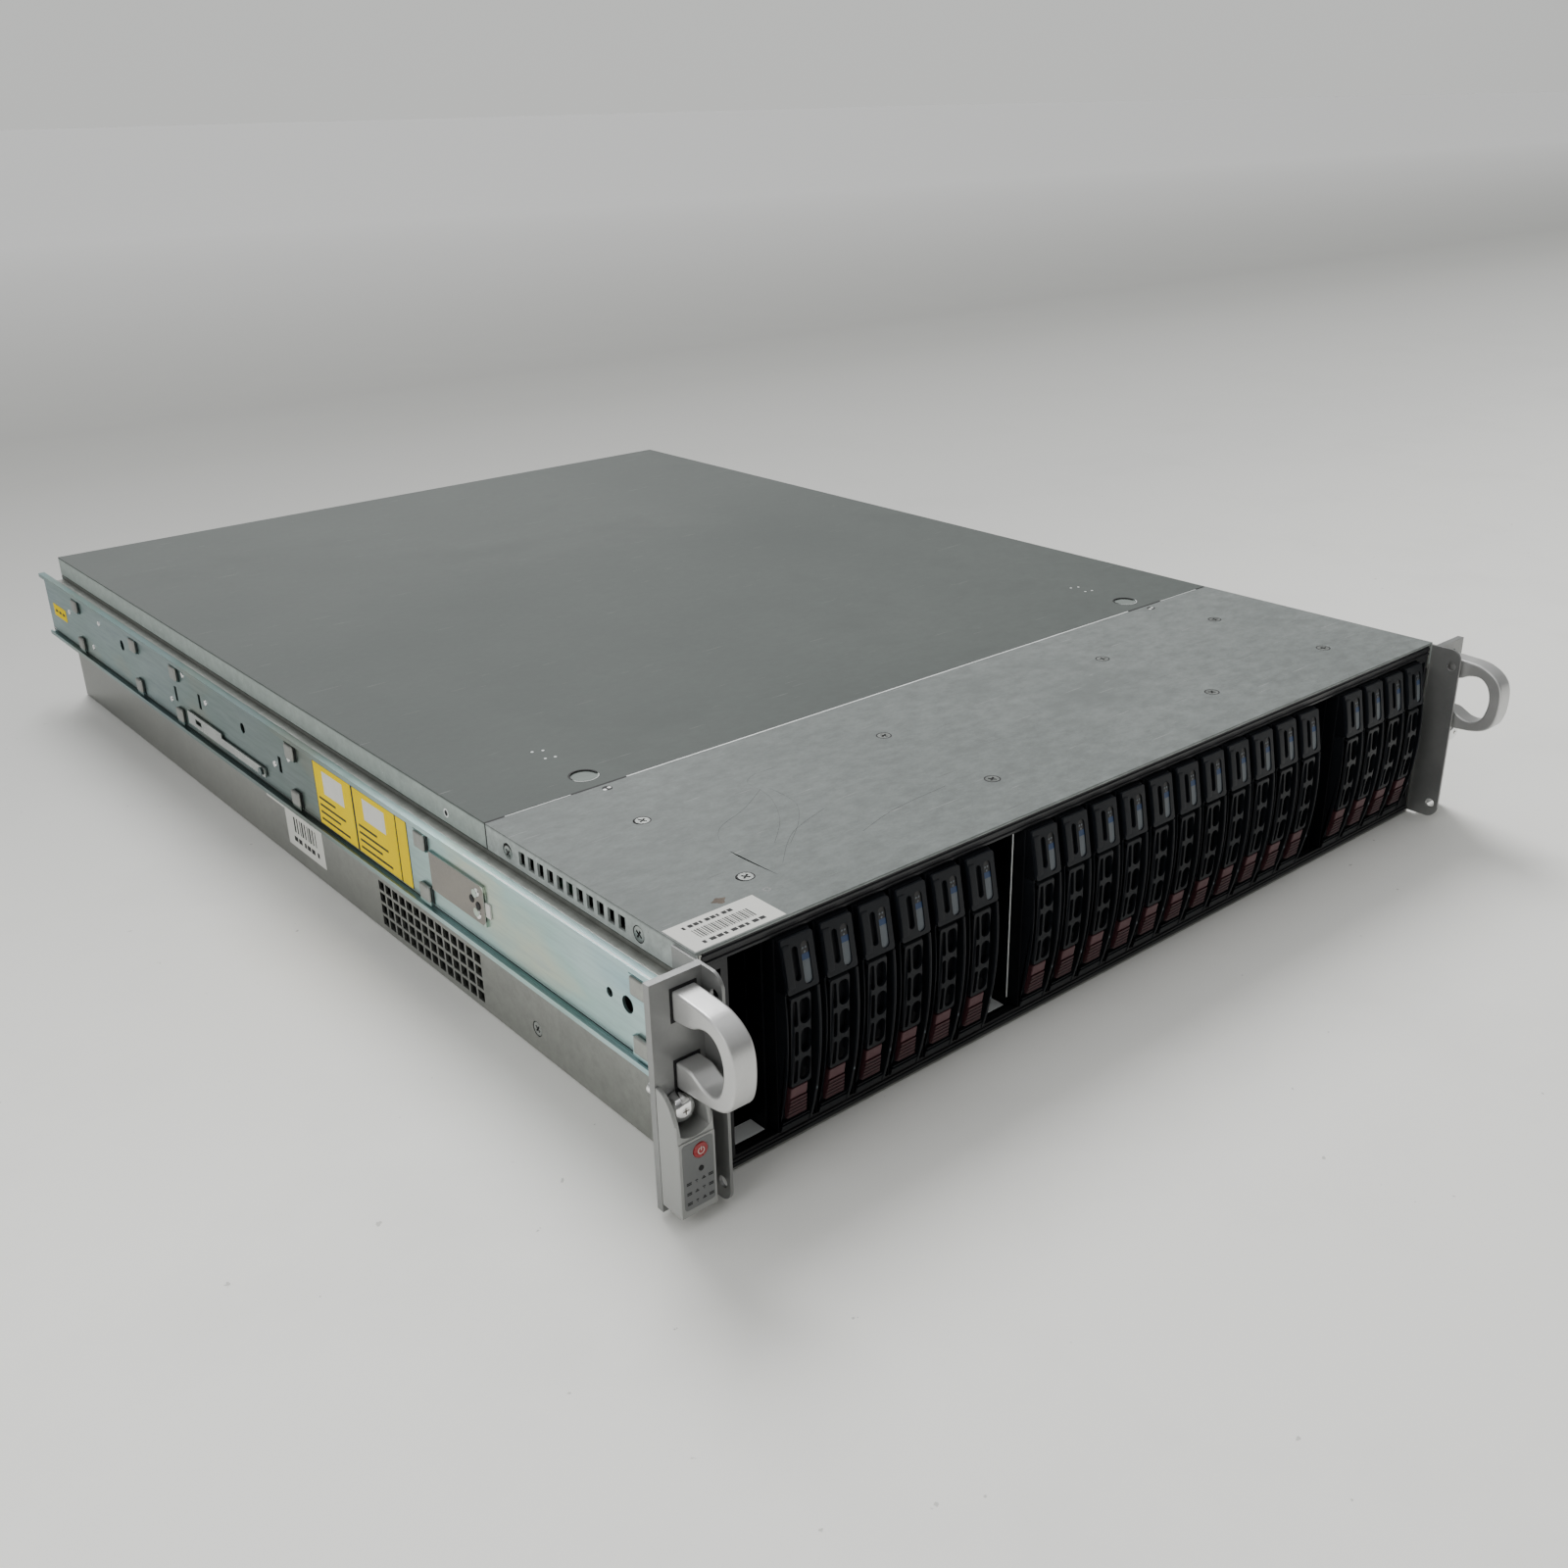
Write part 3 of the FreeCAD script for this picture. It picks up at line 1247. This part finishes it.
def thumbscrew(side):
    """A captive rack screw: knob in front, relieved neck in the ear, thread behind it."""
    x = f"{side} * rack_hole_span / 2"
    back = "-ear_front - running_gap"
    thread_start = "-ear_front + ear_wall + running_gap"
    knob = rod("Y", x, (f"{back} - knob_length", back), "rack_hole_height", "knob_radius")
    neck = rod("Y", x, (f"{back} - 1", f"{thread_start} + 1"), "rack_hole_height",
               "stud_radius - stud_relief")
    thread = rod("Y", x, (thread_start, "stud_end"), "rack_hole_height", "stud_radius")
    return fuse([knob, neck, thread], "Thumbscrew")


def ears():
    for side, name in ((-1, "left"), (1, "right")):
        node(f"{name}_ear", ear_blank(side))
        node(f"{name}_handle", handle(side))
        node(f"{name}_thumbscrew", thumbscrew(side))


# ---------------------------------------------------------------- slide rails


def inner_rails():
    rails = []
    for side in (-1, 1):
        depth = ("inner_start", "inner_start + inner_long")
        web = block(side_span(side, HALF, f"{HALF} + rail_wall"), depth, ("inner_low", "inner_high"))
        lips = [block(side_span(side, HALF, "inner_reach"), depth, (z, f"{z} + rail_wall"))
                for z in ("inner_low", "inner_high - rail_wall")]
        rails.append(fuse([web] + lips))
    node("inner_rails", group(rails, "InnerRails"))


RAIL_OUT = "(rail_web + rail_wall)"
RAIL_THROUGH = (f"-{RAIL_OUT} - 1", "-rail_web + 1")


def rail_cuts():
    """The round holes and the slots through the left rail's web."""
    tools = []
    for word in RAIL_HOLES:
        place = f"rail_hole_{word}"
        tools.append(rod("X", RAIL_THROUGH, f"{place}_back", f"{place}_height", f"{place}_radius"))
    for word in RAIL_SLOTS:
        y, z = f"rail_slot_{word}_back", f"rail_slot_{word}_height"
        tools.append(block(RAIL_THROUGH, (f"{y} - rail_slot_long / 2", f"{y} + rail_slot_long / 2"),
                           (f"{z} - rail_slot_tall / 2", f"{z} + rail_slot_tall / 2")))
    return tools


def rail_bumps():
    """The pressed bosses on the left rail's web, in pairs."""
    bumps = []
    for word in RAIL_BUMPS:
        y = f"rail_bump_{word}_back"
        for z in ("bump_high", "bump_low"):
            bumps.append(block((f"-{RAIL_OUT} - rail_wall", "-rail_web - 0.2"),
                               (f"{y} - bump_long / 2", f"{y} + bump_long / 2"),
                               (f"{z} - bump_tall / 2", f"{z} + bump_tall / 2")))
    return bumps


def lever_rivet():
    """The headed pin on the left rail that its release lever turns on."""
    y, z = "lever_pin_back", "lever_height + lever_neck / 2"
    head = f"({RAIL_OUT} + lever_wall + 2 * running_gap)"
    shank = rod("X", (f"-{head} - 0.1", f"-{RAIL_OUT} + 0.1"), y, z, "lever_pin_radius")
    cap = rod("X", (f"-{head} - rivet_head", f"-{head}"), y, z, "lever_pin_head")
    return [shank, cap]


def slide_rail():
    """The left slide rail: a channel open outwards, with lips bent over its edges."""
    web_in, web_out, lip = "-rail_web", f"-{RAIL_OUT}", "-rail_lip"
    low, high, back = "rail_low", "rail_high", "-rail_lip + rail_lip_wall"
    corners = [
        (web_in, low), (lip, low), (lip, f"{low} + lip_bead"), (back, f"{low} + lip_bead"),
        (back, f"{low} + rail_wall"), (web_out, f"{low} + rail_wall"),
        (web_out, f"{high} - rail_wall"), (back, f"{high} - rail_wall"),
        (back, f"{high} - lip_bead"), (lip, f"{high} - lip_bead"), (lip, high), (web_in, high),
    ]
    length = "body_depth + rail_overhang - rail_start"
    channel = profile_body("XZ_Plane", corners, length,
                           ("0", "body_depth + rail_overhang", "0"), "SlideRail")
    return cut(fuse([channel] + rail_bumps() + lever_rivet()), [group(rail_cuts())], "Rail")


def spring_plate():
    """The spring steel stop riveted to the left slide rail."""
    face = f"-{RAIL_OUT}"
    plate = block((f"{face} - spring_wall", face), ("spring_start", "spring_end"),
                  ("spring_low", "spring_high"))
    middle = "(spring_low + spring_high) / 2"
    rivets = [rod("X", (f"{face} - spring_wall - rivet_head", f"{face} - spring_wall + 0.1"),
                  "spring_rivet_back", f"{middle} + {sign} * spring_rivet_spread", "spring_rivet")
              for sign in (-1, 1)]
    return fuse([plate] + rivets, "SpringPlate")


def rail_lever():
    """The left rail's release lever, pivoted at its front end."""
    face = f"-{RAIL_OUT} - running_gap"
    low, through = "lever_height", (f"{face} - lever_wall - 1", f"{face} + 1")
    arm = block((f"{face} - lever_wall", face), ("lever_start", "lever_end"),
                (low, f"{low} + lever_tall"))
    taper = block(through, ("lever_start - 1", "lever_start + lever_taper"),
                  (f"{low} + lever_neck", f"{low} + lever_tall + 1"))
    middle = f"{low} + lever_tall / 2"
    grip = block(through, ("lever_end - lever_hole_end - lever_hole_long", "lever_end - lever_hole_end"),
                 (f"{middle} - lever_hole_tall / 2", f"{middle} + lever_hole_tall / 2"))
    pivot = rod("X", through, "lever_pin_back", f"{low} + lever_neck / 2",
                "lever_pin_radius + running_gap")
    return cut(arm, [taper, grip, pivot], "RailLever")


def rails():
    inner_rails()
    rail = group([slide_rail(), spring_plate()], "LeftRail")
    node("left_slide_rail", rail)
    node("right_slide_rail", mirrored(rail))
    lever = rail_lever()
    node("left_rail_lever", lever)
    node("right_rail_lever", mirrored(lever))


# ---------------------------------------------------------------- build


def check_document():
    """Stop if any object failed or any sub-part is empty, invalid or holds no solid."""
    for item in DOC.Objects:
        if "Invalid" in item.State or "Error" in item.State:
            raise RuntimeError(f"{item.Name} ({item.Label}) failed: {item.State}")
    for item in NODES:
        shape = item.Shape
        if shape.isNull() or not shape.isValid() or not shape.Solids:
            raise RuntimeError(f"{item.Label} has no valid shape")


def write_parts():
    os.makedirs("parts", exist_ok=True)
    for item in NODES:
        item.Shape.exportStep(f"parts/{item.Label}.step")


def build():
    fill_sheet()
    chassis_tray()
    front_top_cover()
    rear_top_cover()
    cover_screws()
    front_frame()
    drive_cage()
    drive_carriers()
    backplane()
    fan_wall()
    fan_rotors()
    motherboard()
    cpu_heatsinks()
    memory_modules()
    air_shroud()
    rear_panel()
    slot_covers()
    io_connectors()
    for level, name in enumerate(("lower", "upper")):
        power_supply(level, f"{name}_power_supply")
        power_latch(level, f"{name}_power_latch")
    ears()
    control_housing()
    control_button("button_height", "button_radius", "button_proud", "power_button")
    control_button("reset_height", "reset_radius", "-0.6", "reset_button")
    rails()
    DOC.recompute()
    check_document()
    write_parts()
    for item in NODES:
        print(item.Label, len(item.Shape.Solids), round(item.Shape.Volume, 1))
    print(len(NODES), "nodes")


build()
